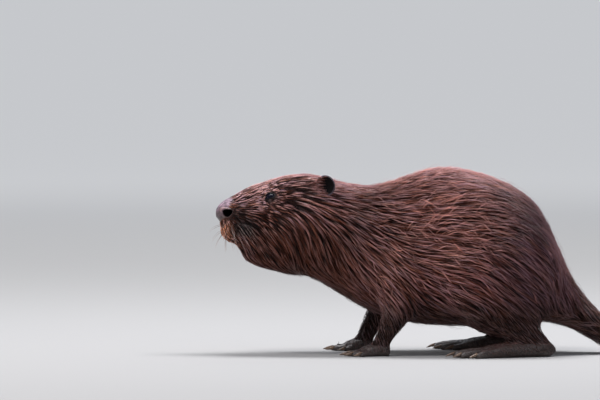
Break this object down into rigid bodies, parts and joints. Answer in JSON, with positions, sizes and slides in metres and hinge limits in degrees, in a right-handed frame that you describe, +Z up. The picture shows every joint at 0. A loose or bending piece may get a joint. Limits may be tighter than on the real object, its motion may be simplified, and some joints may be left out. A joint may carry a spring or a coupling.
{
  "type": "beaver",
  "caption": "Life-size still model of a beaver standing hunched on its feet, with round ears, webbed hind feet and a flat scaly tail.",
  "frame": {"origin": "on the ground, under the middle of the animal's box", "axes": "the animal looks along -X, its left side is towards -Y, and +Z is up; the nose-to-tail length runs along X"},
  "size_m": [0.8076, 0.2906, 0.2628],
  "materials": {
    "fur": "coarse wet reddish-brown fur in pointed locks, darker at the roots",
    "nose_skin": "moist bare purplish-grey skin with fine furrows",
    "ear_skin": "thin dark skin with short fine hair",
    "bare_skin": "dark grey-brown bare skin, pebbled on the feet and scaly on the tail",
    "eye": "wet glossy blue-black",
    "claw_horn": "dark brown horn, smooth and slightly shiny"
  },
  "bodies": {
    "root": {"claw_fore_left_1": "claw_horn", "claw_fore_left_2": "claw_horn", "claw_fore_left_3": "claw_horn", "claw_fore_left_4": "claw_horn", "claw_fore_left_5": "claw_horn", "claw_fore_right_1": "claw_horn", "claw_fore_right_2": "claw_horn", "claw_fore_right_3": "claw_horn", "claw_fore_right_4": "claw_horn", "claw_fore_right_5": "claw_horn", "claw_hind_left_1": "claw_horn", "claw_hind_left_2": "claw_horn", "claw_hind_left_3": "claw_horn", "claw_hind_left_4": "claw_horn", "claw_hind_left_5": "claw_horn", "claw_hind_right_1": "claw_horn", "claw_hind_right_2": "claw_horn", "claw_hind_right_3": "claw_horn", "claw_hind_right_4": "claw_horn", "claw_hind_right_5": "claw_horn", "ear_left": "ear_skin", "ear_right": "ear_skin", "eye_left": "eye", "eye_right": "eye", "forefoot_left": "bare_skin", "forefoot_right": "bare_skin", "foreleg_left": "fur", "foreleg_right": "fur", "head": "fur", "hindfoot_left": "bare_skin", "hindfoot_right": "bare_skin", "hindleg_left": "fur", "hindleg_right": "fur", "lower_jaw": "fur", "neck": "fur", "nose": "nose_skin", "tail_paddle": "bare_skin", "tail_root": "fur", "trunk": "fur"}
  },
  "joints": []
}
